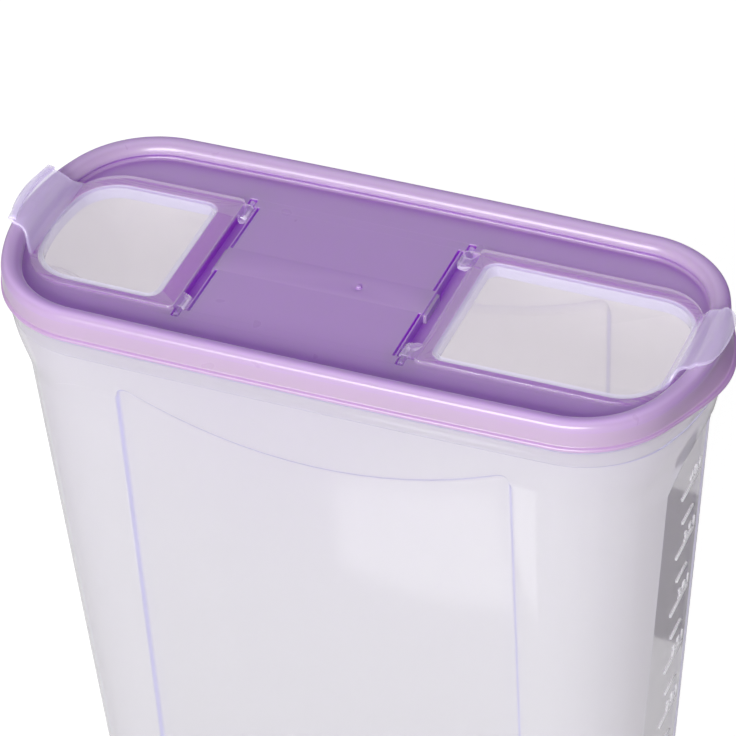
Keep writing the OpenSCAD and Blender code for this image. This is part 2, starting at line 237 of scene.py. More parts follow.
def quarter(oval, xs, ys, steps):
    """A quarter from the middle of the side to the end, as rows of (x, y, normal x, normal y)."""
    c = corner_centre(oval)
    side_y, tip_x = oval[1] - oval[2], oval[0] - oval[3]
    start, stop = math.atan2(c[1] - side_y, c[0]), math.atan2(c[1], c[0] - tip_x)
    rows = []
    for x in xs:
        up = math.sqrt(oval[2] ** 2 - x * x)
        rows.append((x, side_y + up, x / oval[2], up / oval[2]))
    for i in range(steps + 1):
        t = mix(start, stop, i / steps)
        rows.append((c[0] + oval[4] * math.cos(t), c[1] + oval[4] * math.sin(t), math.cos(t), math.sin(t)))
    for y in ys:
        out = math.sqrt(oval[3] ** 2 - y * y)
        rows.append((tip_x + out, y, out / oval[3], y / oval[3]))
    return np.array(rows)


def whole(q):
    """The whole ring, clockwise from above, of a quarter whose first and last columns lie on the axes."""
    signs = np.ones(q.shape[1])
    flip_x, flip_y = signs.copy(), signs.copy()
    flip_x[[0, 2]] = -1
    flip_y[[1, 3]] = -1
    return np.concatenate([q[:-1], (q * flip_y)[:0:-1], (q * flip_x * flip_y)[:-1], (q * flip_x)[:0:-1]])


# ---- Meshes ----


class Shell:
    """Vertices and faces put together from rings of points."""

    def __init__(self):
        self.points = []
        self.lines = []
        self.faces = []
        self.kinds = []

    def ring(self, points):
        """Adds points. A fourth number is the strength of the painted lilac shade line drawn through the
        point.
        """
        first = len(self.points)
        for p in points:
            self.points.append(tuple(float(v) for v in p[:3]))
            self.lines.append(float(p[3]) if len(p) > 3 else 0.0)
        return list(range(first, len(self.points)))

    def face(self, corners, kind=0):
        self.faces.append(tuple(corners))
        self.kinds.append(kind)

    def loft(self, rings, kind=0):
        """Joins each closed ring to the next."""
        for a, b in zip(rings, rings[1:]):
            for i in range(len(a)):
                j = (i + 1) % len(a)
                self.face((a[i], a[j], b[j], b[i]), kind)

    def fill(self, outer, holes=()):
        """Flat face inside the outer ring and outside the holes."""
        loops = [outer, *holes]
        order = [i for loop in loops for i in loop]
        flat = [[Vector(self.points[i]) for i in loop] for loop in loops]
        for tri in tessellate_polygon(flat):
            self.face(order[i] for i in tri)

    def solid(self, rings):
        """Joins the rings and closes both ends with flat faces."""
        self.loft(rings)
        self.fill(rings[0])
        self.fill(rings[-1])

    def build(self, name, materials, sharp=35):
        """Makes the object. Edges that bend by more than sharp degrees stay sharp."""
        mesh = bpy.data.meshes.new(name)
        mesh.from_pydata(self.points, [], self.faces)
        mesh.polygons.foreach_set("material_index", self.kinds)
        if any(self.lines):
            mesh.attributes.new("line", "FLOAT", "POINT").data.foreach_set("value", self.lines)
        for m in materials:
            mesh.materials.append(m)
        obj = bpy.data.objects.new(name, mesh)
        bpy.context.scene.collection.objects.link(obj)
        finish_mesh(mesh, sharp)
        return obj


def finish_mesh(mesh, sharp):
    """Joins doubled points, turns the faces outwards and smooths all but the sharp edges."""
    bm = bmesh.new()
    bm.from_mesh(mesh)
    bmesh.ops.remove_doubles(bm, verts=bm.verts, dist=1e-7)
    bmesh.ops.recalc_face_normals(bm, faces=bm.faces)
    for f in bm.faces:
        f.smooth = True
    for e in bm.edges:
        e.smooth = len(e.link_faces) == 2 and e.calc_face_angle(0) < math.radians(sharp)
    bm.to_mesh(mesh)
    bm.free()


def evaluated_mesh(obj):
    """A new mesh of the object as its modifiers or its curve make it."""
    bpy.context.view_layer.update()
    return bpy.data.meshes.new_from_object(obj.evaluated_get(bpy.context.evaluated_depsgraph_get()))


def arc(centre, r, start, stop, steps):
    return [
        (centre[0] + r * math.cos(math.radians(mix(start, stop, i / steps))),
         centre[1] + r * math.sin(math.radians(mix(start, stop, i / steps))))
        for i in range(steps + 1)
    ]


def d_shape(x0, x1, hw, re, rc, r0, d=0.0):
    """Outline from x0 to x1, hw to each side. Its end has radius re, its corners rc, and those at x0 r0."""
    x, r = x0 + d, max(EDGE_R, r0 - d)
    o = inset((x1, hw, STRAIGHT_R, re, rc), d)
    c = corner_centre(o)
    tip = (o[0] - o[3], 0)
    to = math.degrees(math.atan2(c[1], c[0] - tip[0]))
    return (
        arc((x + r, o[1] - r), r, 180, 90, 8)
        + arc(c, o[4], 90, to, 14)
        + arc(tip, o[3], to, -to, 24)[1:-1]
        + arc((c[0], -c[1]), o[4], -to, -90, 14)
        + arc((x + r, r - o[1]), r, -90, -180, 8)
    )


def rounded(corners, radii, steps=4):
    """Outline through the corners, each rounded with its radius."""
    out = []
    n = len(corners)
    for i in range(n):
        p = np.array(corners[i])
        a, b = np.array(corners[i - 1]) - p, np.array(corners[(i + 1) % n]) - p
        a, b = a / np.linalg.norm(a), b / np.linalg.norm(b)
        r = max(radii[i], 1e-5)
        c = p + (a + b) * r
        start = math.atan2(-b[1], -b[0])
        turn = math.atan2(-a[1], -a[0])
        d = (turn - start + math.pi) % (2 * math.pi) - math.pi
        out += [tuple(c + r * np.array([math.cos(start + d * k / steps), math.sin(start + d * k / steps)]))
                for k in range(steps + 1)]
    return out


def circle(x, y, r):
    return [(x + r * math.cos(math.radians(a)), y + r * math.sin(math.radians(a))) for a in range(0, 360, 12)]


def level(outline, z):
    return [(x, y, z) for x, y in outline]


def pour_shape(f, d):
    return d_shape(f[0] + f[2], FLAP_END - LEDGE_W, POUR_W / 2, PLATE_END_R - LEDGE_W,
                   PLATE_CORNER_R - LEDGE_W, POUR_CORNER_R, d)


def plate_shape(f, d):
    return d_shape(f[0] + f[1], FLAP_END, FLAP_W / 2, PLATE_END_R, PLATE_CORNER_R, PLATE_BACK_R, d)


def quarter_turn(steps=4):
    """Angles from 0 to 90 degrees."""
    return [math.radians(90 * i / steps) for i in range(steps + 1)]


def rounding(r, steps=4):
    """Steps along a rounding of radius r, as (how far it is set back, how far along the other way)."""
    return [(r * (1 - math.sin(a)), r * (1 - math.cos(a))) for a in quarter_turn(steps)]


# ---- Tub ----

TAPER_L = (BODY_L - BASE_L) / 2 / SHOULDER_Z
TAPER_W = (BODY_W - BASE_W) / 2 / SHOULDER_Z
FLARE_TOP = SHOULDER_Z - 0.002


def body_oval(z):
    d = SHOULDER_Z - z
    w, s = ramp(1 - d / FLARE_H), 1 - d / SHOULDER_Z
    plain_end = mix(BODY_END_R * BASE_W / BODY_W, BODY_END_R, s)
    plain_corner = mix(BODY_CORNER_R * BASE_W / BODY_W, BODY_CORNER_R, s)
    return (mix(BODY_L / 2 - TAPER_L * d, NECK_OVAL[0], w), BODY_W / 2 - TAPER_W * d, SIDE_R,
            mix(plain_end, NECK_OVAL[3], w), mix(plain_corner, NECK_OVAL[4], w))


# Columns of a quarter: shares of the side panel's half width, distances from its edge, steps round the
# corner, distances from the end panel's edge, and shares of its half width
SIDE_PARTS = [0, 0.12, 0.24, 0.36, 0.48, 0.6, 0.7, 0.8, 0.88]
EDGE_STEPS = [-0.0052, -0.0040, -0.0030, -0.0021, -0.0014, -0.0009, -0.00055, -0.00025, 0, 0.00025, 0.00055,
              0.0009]
CORNER_STEPS = 22
END_STEPS = [0.0009, 0.00055, 0.00025, 0, -0.00025, -0.00055, -0.0009]
END_PARTS = [0.86, 0.7, 0.52, 0.35, 0.18, 0]
FLAT_FROM = len(SIDE_PARTS) + len(EDGE_STEPS) + CORNER_STEPS + len(END_STEPS)


def tub_columns(z):
    """Places of the columns at height z: along the side, and along the end."""
    half = PANEL_W / 2 * mix(PANEL_NARROW, 1, z / TUB_H)
    xs = [half * t for t in SIDE_PARTS] + [half + e for e in EDGE_STEPS]
    ys = [END_PANEL_W / 2 + e for e in END_STEPS] + [END_PANEL_W / 2 * t for t in END_PARTS]
    return xs, ys


def inside(e):
    """Share of the panel's depth at e past the edge, towards its middle when e is negative."""
    return ramp(0.5 - e / (2 * EDGE_HALF))


SUNK = np.array([1.0] * len(SIDE_PARTS) + [inside(e) for e in EDGE_STEPS] + [0.0] * (CORNER_STEPS + 1)
                + [inside(e) for e in END_STEPS] + [1.0] * len(END_PARTS))


def panel_tops():
    """Height of the panels' upper edge at each column of a quarter."""
    half = PANEL_W / 2
    tops = []
    xs, ys = tub_columns(TUB_H)
    for x in xs:
        x = min(x, half)
        arc_up = math.sqrt(PANEL_ARC_R**2 - half * half)
        top = TUB_H - PANEL_DROP - math.sqrt(PANEL_ARC_R**2 - x * x) + arc_up
        into = x - (half - PANEL_CORNER_R)
        if into > 0:
            top -= PANEL_CORNER_R - math.sqrt(max(0.0, PANEL_CORNER_R**2 - into * into))
        tops.append(top)
    side = TUB_H - PANEL_DROP - PANEL_CORNER_R
    low = TUB_H - END_PANEL_DROP - END_PANEL_FALL
    tops += [mix(side, low, ramp(i / CORNER_STEPS)) for i in range(CORNER_STEPS + 1)]
    for y in ys:
        t = min(1.0, y / (END_PANEL_W / 2))
        tops.append(low + END_PANEL_FALL * (1 - t**ARCH_POWER))
    return np.array(tops)


TOPS = panel_tops()
QUARTERS = {}


def tub_row(bend, z, d, sunk=0.0, neck=False, line=None):
    """One row of the wall, d in from its outside.

    It is level at z where bend is 0, and lies z above the panels' upper edge where bend is 1. sunk is its
    share of the panels' depth. line is the strength of the painted lilac shade line drawn along it, otherwise
    that of the painted shade along the panels' edges.
    """
    heights = np.full(len(TOPS), z) if bend == 0 else TOPS + z if bend == 1 else mix(z, TOPS, bend)
    rows = []
    for i, h in enumerate(heights):
        key = (round(float(h), 7), neck)
        if key not in QUARTERS:
            QUARTERS[key] = quarter(NECK_OVAL if neck else body_oval(h), *tub_columns(h), CORNER_STEPS)
        p = QUARTERS[key][i]
        back = d + sunk * PANEL_DEEP * SUNK[i]
        flat = sunk * max(0.0, p[0] - QUARTERS[key][FLAT_FROM][0]) if i > FLAT_FROM else 0
        share = sunk * SUNK[i]
        drawn = 4 * share * (1 - share) if line is None else line
        rows.append((p[0] - p[2] * back - flat, p[1] - p[3] * back, p[2], p[3], h, drawn))
    return [(x, y, h, drawn) for x, y, _, _, h, drawn in whole(np.array(rows))]


def neck_row(z, d=0.0, line=None):
    return tub_row(0, z, d, 0, True, line)


# Heights of the strip at the panels' foot and of the rows that bend towards the panels' upper edge, and how
# much wider that edge is than the others
FOOT_STRIP = 0.002
BEND_H = 0.024
BODY_TOP = TUB_H - PANEL_DROP - END_PANEL_FALL - BEND_H
TOP_SOFT = 1.3


def wall_rows(d, fine):
    """Rows of the wall from above its foot to its shoulder."""
    rows = [tub_row(0, mix(FOOT_R, PANEL_FOOT - FOOT_STRIP, t), d) for t in (0.5, 1)]
    steps = END_STEPS if fine else [EDGE_HALF, -EDGE_HALF]
    rows += [tub_row(0, PANEL_FOOT - e, d, inside(e)) for e in steps]
    n = 22 if fine else 8
    rows += [tub_row(0, mix(PANEL_FOOT + FOOT_STRIP, BODY_TOP, i / n), d, 1) for i in range(n + 1)]
    rows += [tub_row(b, BODY_TOP, d, 1) for b in (0.25, 0.5, 0.7, 0.85, 0.93)]
    steps = [-1.0, -0.6, -0.3, 0, 0.3, 0.6, 1.0] if fine else [-1, 1]
    rows += [tub_row(1, s * EDGE_HALF * TOP_SOFT, d, inside(s * EDGE_HALF)) for s in steps]
    rows += [tub_row(b, FLARE_TOP, d) for b in (0.93, 0.84, 0.74, 0.64, 0.54, 0.44, 0.34, 0.24, 0.12, 0)]
    return rows


def make_tub(material):
    shell = Shell()
    rows = [tub_row(0, FOOT_HOLLOW * share, FOOT_R + d) for d, share in HOLLOW_ROWS]
    rows += [tub_row(0, up, d) for d, up in rounding(FOOT_R)]
    rows += wall_rows(0, True)
    # Step of the shoulder with a painted lilac shade line, and a painted shadow line under the skirt's foot
    rows += [tub_row(0, STEP_Z - 0.0005, 0), tub_row(0, STEP_Z, 0, line=1),
             tub_row(0, STEP_Z + 0.0003, -0.0002, line=1), neck_row(SHOULDER_Z, 0.0002, 1),
             neck_row(SHOULDER_Z + 0.0004)]
    rows += [neck_row(UNDER_SKIRT_Z + h, 0, line) for h, line in ((-0.0006, 0), (0, 0.7), (0.0006, 0))]
    rows += [neck_row(mix(UNDER_SKIRT_Z + 0.001, TUB_H - MOUTH_LOW, t)) for t in (0, 0.5, 1)]
    rows += [neck_row(TUB_H - down, d) for down, d in rounding(MOUTH_R)]
    rows += [neck_row(TUB_H - down, MOUTH_T - d) for down, d in rounding(MOUTH_R)[::-1]]
    rows.append(neck_row(STEP_Z, MOUTH_T))
    rows += wall_rows(WALL_T, False)[::-1]
    rows += [tub_row(0, FOOT_HOLLOW + FLOOR_T + up, WALL_T + d) for d, up in rounding(FLOOR_R)[::-1]]
    shell.solid([shell.ring(r) for r in rows])
    return shell.build("tub_body", [material], 50)


def panel_x(z):
    """How far out the flat end panel is at z."""
    edge = quarter(body_oval(z), *tub_columns(z), CORNER_STEPS)[FLAT_FROM]
    return edge[0] - edge[2] * PANEL_DEEP


def make_scale(material):
    """Raised marks on the end panel, with the plain numbers of a scale in litres."""
    shell = Shell()
    step = (TUB_H - MARK_DROP - MARK_LOW) / (MARKS - 1)

    def bar(z, length):
        rings = []
        for t, ends in ((-1, MARK_BEVEL), (-0.98, 0), (0.98, 0), (1, MARK_BEVEL)):
            y = MARK_Y + t * length / 2
            face, near = MARK_OUT - ends, MARK_OUT - MARK_EDGE - ends
            section = [(-MARK_SINK, 0), (near, ends), (face, MARK_EDGE + ends),
                       (face, MARK_H - MARK_EDGE - ends), (near, MARK_H - ends), (-MARK_SINK, MARK_H)]
            rings.append(shell.ring([(panel_x(z + h) + out, y, z + h) for out, h in section]))
        shell.solid(rings)

    for i in range(MARKS):
        z = TUB_H - MARK_DROP - i * step
        bar(z, MARK_LONG)
        if i < MARKS - 1:
            bar(z - step / 2, MARK_SHORT)
    pieces = [shell.build("scale_marks", [material], 60)]
    for i in range(MARKS):
        z = TUB_H - MARK_DROP - i * step + MARK_H + FIGURE_UP
        curve = bpy.data.curves.new("figure", "FONT")
        curve.body = f"{(MARKS - i) / 2:.1f} l"
        curve.size = FIGURE_H * FONT_RATIO
        curve.extrude = FIGURE_DEEP
        curve.bevel_depth = FIGURE_BEVEL
        curve.resolution_u = 6
        text = bpy.data.objects.new("figure", curve)
        bpy.context.scene.collection.objects.link(text)
        mesh = evaluated_mesh(text)
        wide = max(v.co.x for v in mesh.vertices)
        for v in mesh.vertices:
            y = MARK_Y + MARK_LONG / 2 - wide + v.co.x
            up = z + v.co.y
            v.co = (panel_x(up) + v.co.z, y, up)
        bpy.data.objects.remove(text)
        obj = bpy.data.objects.new(f"scale_number_{MARKS - i}", mesh)
        bpy.context.scene.collection.objects.link(obj)
        mesh.materials.clear()
        mesh.materials.append(material)
        pieces.append(obj)
    return pieces


# ---- Lid ----


def lip(y, drop):
    """Extra reach of the skirt at a distance below the crest: only the ends flare."""
    t = (drop - FLARE_DROP) / (SKIRT_H - FLARE_DROP)
    return LIP_OUT * min(1.0, max(0.0, t)) * ramp(1 - abs(y) / LIP_SPAN)


# Columns of a quarter of the lid: along its side and half its end, and round its corner
STRAIGHT_STEPS = 14
TURN_STEPS = 24


def lid_columns():
    c = corner_centre(LID_OVAL)
    tip_y = END_R * math.sin(math.atan2(c[1], c[0] - (LID_OVAL[0] - END_R)))
    xs = [c[0] * t / STRAIGHT_STEPS for t in range(STRAIGHT_STEPS)]
    ys = [tip_y * t / STRAIGHT_STEPS for t in reversed(range(STRAIGHT_STEPS))]
    return quarter(LID_OVAL, xs, ys, TURN_STEPS)


def lid_ring(q, s, drop):
    """The rim's outline s in from the skirt, at a distance below the crest. Only the skirt flares."""
    out = []
    for p in whole(q):
        d = s - (lip(p[1], drop) if s < SKIRT_T + TINY else 0)
        out.append((p[0] - p[2] * d, p[1] - p[3] * d, CREST_Z - drop))
    return out


def rim_section():
    """Section of the rim from the deck's upper face, over the crest and the skirt, to its lower face."""
    deck_in, deck_low = RIM_W + RIM_FILLET * 0.5, DECK_DROP + DECK_T
    rows = [(deck_in + DECK_RING, DECK_DROP)]
    for a in quarter_turn():
        rows.append((deck_in - RIM_FILLET * math.sin(a), DECK_DROP - RIM_FILLET * (1 - math.cos(a))))
    rows += [(RIM_W - s, drop) for drop, s in rounding(ROUND_IN, 8)]
    rows += [(s, drop) for drop, s in rounding(ROUND_OUT, 8)[::-1]]
    foot = SKIRT_H - BEAD_H - BEAD
    rows += [(0.0, mix(ROUND_OUT, FLARE_DROP, t)) for t in (0.5, 1)]
    rows += [(0.0, mix(FLARE_DROP, foot - EDGE_R, t)) for t in (0.25, 0.5, 0.75, 1)]
    for a in quarter_turn()[1:]:
        rows.append((-BEAD_NECK[0] * (1 - math.cos(a)), foot - EDGE_R + BEAD_NECK[1] * math.sin(a)))
    for i in range(9):
        a = math.radians(-80 + 150 * i / 8)
        rows.append((BEAD_IN - BEAD_R * math.cos(a), SKIRT_H - BEAD_MID + BEAD_R * math.sin(a)))
    inner = RIM_W - SKIRT_T
    rows += [(0.0004, SKIRT_H), (SKIRT_T - EDGE_R, SKIRT_H), (SKIRT_T, SKIRT_H - EDGE_R),
             (SKIRT_T, FLARE_DROP), (SKIRT_T + 2 * TINY, CREST_T), (inner, CREST_T), (inner, PLUG_H - 0.002),
             (inner + 0.0004, PLUG_H), (RIM_W - 0.0005, PLUG_H), (RIM_W, PLUG_H - 0.001),
             (RIM_W, deck_low + 0.0005), (RIM_W + 0.0005, deck_low), (deck_in + DECK_RING, deck_low)]
    return rows


def groove_out(f):
    return max(f[1], KNUCKLE_R) + PLAY + HAIR


def groove_shape(f, d):
    """The groove with the slots for the pins at its ends."""
    x0, x1 = f[0] - GROOVE_IN + d, f[0] + groove_out(f) - d
    y, end = GROOVE_L / 2 - d, GROOVE_L / 2 + SLOT_L - d
    s0, s1 = f[0] - SLOT_W / 2 + d, f[0] + SLOT_W / 2 - d
    corners = [(x0, -y), (x0, y), (s0, y), (s0, end), (s1, end), (s1, y), (x1, y), (x1, -y),
               (s1, -y), (s1, -end), (s0, -end), (s0, -y)]
    out, into = GROOVE_R - d, max(EDGE_R + d, HAIR / 2)
    return rounded(corners, [out, out, into] * 4)


def slit_shape(f, side, d):
    x1 = f[0] - GROOVE_IN - SLIT_WALL - d
    x0 = x1 - SLIT_W + 2 * d
    y0, y1 = SLIT_GAP / 2 + d, GROOVE_L / 2 - d
    corners = [(x0, y0), (x0, y1), (x1, y1), (x1, y0)]
    if side < 0:
        corners = [(x, -y) for x, y in corners][::-1]
    return rounded(corners, [EDGE_R - d] * 4)


def turned(outline):
    """An outline made for the large flap's end, turned round to the small flap's end."""
    return [(-x, y) for x, y in outline]


# Mark of the gate, as (radius, height over the deck), and its place along the lid
GATE = [(0.0030, 0), (0.0025, -0.00003), (0.0020, -0.00010), (0.0015, -0.00019), (0.0011, -0.00022),
        (0.00095, -0.0001), (0.0009, 0.0002), (0.0008, 0.00042), (0.0006, 0.00053), (0.0003, 0.00056)]
GATE_X = -0.0013


def make_lid(materials):
    shell = Shell()
    q = lid_columns()
    section = rim_section()
    rings = [shell.ring(lid_ring(q, s, drop)) for s, drop in section]
    skirt = next(i for i, (s, drop) in enumerate(section) if s <= 0 and drop > ROUND_OUT)
    shell.loft(rings[:skirt + 1])
    shell.loft(rings[skirt:], kind=1)
    top_holes, low_holes = [], []
    low_z = DECK_Z - DECK_T

    def hole(shape, bottom, turn):
        """Wall of a hole with a rounded upper edge, down to the bottom. Gives its lowest ring."""
        side = turned if turn else list
        rows = []
        for d, down in rounding(EDGE_R):
            rows.append(shell.ring(level(side(shape(-d)), DECK_Z - down)))
        rows.append(shell.ring(level(side(shape(0)), bottom)))
        shell.loft(rows)
        top_holes.append(rows[0])
        return rows[-1]

    for f, turn in ((SMALL, True), (LARGE, False)):
        low_holes.append(hole(lambda d: pour_shape(f, d), low_z, turn))
        for side in (-1, 1):
            low_holes.append(hole(lambda d: slit_shape(f, side, d), low_z, turn))
        floor = hole(lambda d: groove_shape(f, d), DECK_Z - GROOVE_DEEP, turn)
        shell.fill(floor)
        x0, x1 = f[0] - GROOVE_IN - SLIT_WALL + HAIR, f[0] + groove_out(f) + GROOVE_T
        y = GROOVE_L / 2 + SLOT_L + GROOVE_T
        block = rounded([(x0, -y), (x0, y), (x1, y), (x1, -y)], [EDGE_R] * 4)
        block = turned(block) if turn else block
        under = [shell.ring(level(block, z)) for z in (low_z, DECK_Z - GROOVE_DEEP - GROOVE_T)]
        shell.loft(under)
        shell.fill(under[-1])
        low_holes.append(under[0])
    # Dot in a shallow dimple, which the moulding's gate leaves near the middle of the deck
    dimple = [shell.ring(level(circle(GATE_X, 0, r), DECK_Z + h)) for r, h in GATE]
    shell.loft(dimple)
    shell.fill(dimple[-1])
    top_holes.append(dimple[0])
    shell.fill(rings[0], top_holes)
    shell.fill(rings[-1], low_holes)
    obj = shell.build("lid_body", materials, 40)

    extras = Shell()
    for f, turn in ((SMALL, True), (LARGE, False)):
        x0 = f[0] - GROOVE_IN - HAIR
        rows = []
        for drop, reach, cut in ((GROOVE_DEEP + HAIR, RIB_T, 0), (RIB_DROP + RIB_R, RIB_T, HAIR),
                                 (RIB_DROP, RIB_T - 0.0005, RIB_R)):
            y = SLIT_GAP / 2 - cut
            outline = rounded([(x0, -y), (x0, y), (x0 + reach, y), (x0 + reach, -y)],
                              [HAIR / 2, HAIR / 2, RIB_R, RIB_R])
            rows.append(extras.ring(level(turned(outline) if turn else outline, DECK_Z - drop)))
        extras.solid(rows)
    return obj, extras.build("lid_details", materials[:1], 40)


# ---- Flaps ----

TAB_FOOT = FLAP_T / 2 - DECK_DROP
RIM_BACK = (END_R - RIM_W) - math.sqrt((END_R - RIM_W) ** 2 - TAB_W**2 / 4)
INNER_X = LID_L / 2 - RIM_W - RIM_BACK


# Bend of a tab, as (distance out from the rim's inner edge, height over the plate's middle)
TAB_BEND = [(-0.0095, 0), (-0.0078, 0), (-0.0060, 0.0001), (-0.0044, 0.0006), (-0.0030, 0.0016),
            (-0.0019, 0.0030), (-0.0011, 0.0045), (-0.0003, 0.0059), (0.0007, 0.0070), (0.0021, 0.0078),
            (0.0040, 0.0083), (RIM_W, TAB_RISE * 0.97 - TAB_FOOT)]
TAB_STEPS = 5


def tab_line(end):
    """Middle line of a tab as (x, height above the crest), out from the plate and over the rim to its end."""
    key = TAB_BEND + [(end - INNER_X - 0.003, TAB_RISE * 0.99 - TAB_FOOT),
                      (end - INNER_X, TAB_RISE - TAB_FOOT)]
    key = np.array([(INNER_X + x, TAB_FOOT + z) for x, z in key])
    out = []
    for i in range(len(key) - 1):
        a, b, c, d = key[max(0, i - 1)], key[i], key[i + 1], key[min(len(key) - 1, i + 2)]
        for k in range(TAB_STEPS):
            t = k / TAB_STEPS
            out.append(0.5 * ((2 * b) + (c - a) * t + (2 * a - 5 * b + 4 * c - d) * t**2
                              + (3 * b - a - 3 * c + d) * t**3))
    out.append(key[-1])
    return np.array(out)


def make_tab(end):
    """The lifting tab: a bent sheet with rounded edges, which widens towards the plate."""
    line = tab_line(end)
    shell = Shell()
    step = np.gradient(line, axis=0)
    step /= np.linalg.norm(step, axis=1)[:, None]
    up = np.stack([-step[:, 1], step[:, 0]], 1)
    far = np.linalg.norm(np.diff(line, axis=0), axis=1)
    to_end = np.concatenate([np.cumsum(far[::-1])[::-1], [0]])
    rows = []
    edge = FLAP_T / 2
    for i, (p, n, t) in enumerate(zip(line, up, to_end)):
        high = min(1.0, max(0.0, (p[1] - TAB_FOOT) / (TAB_RISE - TAB_FOOT)))
        half = TAB_W / 2 + TAB_FLARE * (1 - high) ** TAB_FLARE_POWER
        if t < TAB_CORNER_R:
            half -= TAB_CORNER_R - math.sqrt(TAB_CORNER_R**2 - (TAB_CORNER_R - t) ** 2)
        thick = edge * (TAB_ROOT_THIN if i < TAB_ROOT_ROWS else 1)
        if t < edge:
            thick *= math.sqrt(max(0.02, 1 - (1 - t / edge) ** 2))
        sag = (TAB_END_R - math.sqrt(TAB_END_R**2 - TAB_W**2 / 4)) * ramp(1 - t / TAB_BOW)
        span = 14
        across = [(half - edge) * math.sin(math.pi * (k / span - 0.5)) for k in range(span + 1)]
        turn = [(edge * math.cos(math.radians(a)), thick * math.sin(math.radians(a)))
                for a in (60, 30, 0, -30, -60)]
        ring = [(y, thick) for y in across] + [(half - edge + out, w) for out, w in turn]
        ring += [(y, -thick) for y in across[::-1]] + [(-(half - edge) - out, w) for out, w in turn[::-1]]
        rows.append(shell.ring([
            (p[0] + n[0] * w - sag * (y / (TAB_W / 2)) ** 2, y, CREST_Z + p[1] + n[1] * w) for y, w in ring]))
    shell.loft(rows)
    shell.face(rows[0])
    shell.face(rows[-1])
    return shell.build("tab", [], 40)


def make_knuckle(f, side):
    """Knuckle with the arm that joins it to the plate, and its pin."""
    shell = Shell()
    arm = f[1] + ARM_OVERLAP
    y0, y1 = side * (KNUCKLE_END - KNUCKLE_L), side * KNUCKLE_END
    high = DECK_Z - HINGE_Z
    top = high + FLAP_T * ARM_RISE
    round_part = [(KNUCKLE_R * math.sin(math.radians(a)), KNUCKLE_R * math.cos(math.radians(a)))
                  for a in range(-180, 1, 10)]
    section = round_part + [(arm * 0.5, mix(KNUCKLE_R, top, 0.5)), (arm, top), (arm, high + HAIR),
                            (f[1] - HAIR, high - 2 * HAIR), (arm * 0.55, -0.0006), (arm * 0.3, -0.0015)]
    rows = []
    for t, cut in KNUCKLE_ROWS:
        y = y0 + side * t
        ring = []
        for x, z in section:
            r = math.hypot(x, z)
            k = max(0.2, 1 - cut / max(r, 1e-6)) if x <= 1e-9 else 1
            ring.append((f[0] + x * k, y, HINGE_Z + z * k))
        rows.append(shell.ring(ring))
    shell.loft(rows)
    shell.face(rows[0])
    shell.face(rows[-1])
    body = shell.build("knuckle", [], 40)
    pin = Shell()
    pin.solid([pin.ring([(x, y1 + side * t, z) for x, z in circle(f[0], HINGE_Z, r)]) for t, r in PIN_ROWS])
    return [body, pin.build("pin", [], 40)]


def unite(base, parts):
    """Joins the parts to the base as one skin."""
    for part in parts:
        m = base.modifiers.new("unite", "BOOLEAN")
        m.operation, m.solver, m.object = "UNION", "EXACT", part
    mesh = evaluated_mesh(base)
    base.modifiers.clear()
    base.data = mesh
    for part in parts:
        bpy.data.objects.remove(part)


def make_flap(name, f, tab_end, turn, materials):
    shell = Shell()
    low, high = DECK_Z, DECK_Z + FLAP_T
    rows = [shell.ring(level(plate_shape(f, d), low + up)) for d, up in rounding(PLATE_LOW_R)]
    rows += [shell.ring(level(plate_shape(f, d), high - down)) for d, down in rounding(PLATE_TOP_R)[::-1]]
    shell.loft(rows)
    shell.fill(rows[-1])
    bottom, e = low - COLLAR_H, EDGE_R
    collar = [shell.ring(level(pour_shape(f, PLAY), low))]
    collar += [shell.ring(level(pour_shape(f, PLAY + d), z)) for d, z in
               ((0, bottom + e), (e * 0.3, bottom + e * 0.3), (e, bottom), (COLLAR_T - e, bottom),
                (COLLAR_T - e * 0.3, bottom + e * 0.3), (COLLAR_T, bottom + e))]
    collar.append(shell.ring(level(pour_shape(f, PLAY + COLLAR_T), low)))
    shell.loft(collar, kind=1)
    shell.fill(rows[0], [collar[0]])
    shell.fill(collar[-1])
    obj = shell.build(name, materials, 40)
    unite(obj, [make_tab(tab_end), *make_knuckle(f, 1), *make_knuckle(f, -1)])
    # The tab takes the lilac lit copy of the flap plastic
    for polygon in obj.data.polygons:
        if polygon.center.z > high + TAB_OVER:
            polygon.material_index = 2
    if turn:
        obj.data.transform(Matrix.Diagonal((-1, 1, 1, 1)))
        obj.data.flip_normals()
    finish_mesh(obj.data, 38)
    return obj


# ---- Materials ----


# Noise in the plastic, as (scale, detail): cloudiness, uneven gloss and moulded grain
CLOUD = (26, 3)
SMEAR = (90, 2)
GRAIN = (1100, 2)
GRAIN_DEEP = 0.00005

# Gloss of the skin: share seen straight on, and how steeply it grows towards grazing views
MIRROR = 0.04
MIRROR_POWER = 5

# Painted highlight on the top of the rim: distances below the crest where it starts and where it is full.
# Painted shade in creases: reach, rays, and openness where it starts and ends
CREST_HIGHLIGHT_FADE = (0.0010, 0.0001)
CREASE_REACH = 0.007
CREASE_RAYS = 6
CREASE_OPEN = (0.82, 0.4)

# Pointiness where the pale edges start and end, partly thicker plastic and partly a painted highlight, and
# how much light still passes there and along the painted shade lines
EDGE_POINTINESS = (0.51, 0.60)
EDGE_CLEAR = 0.5


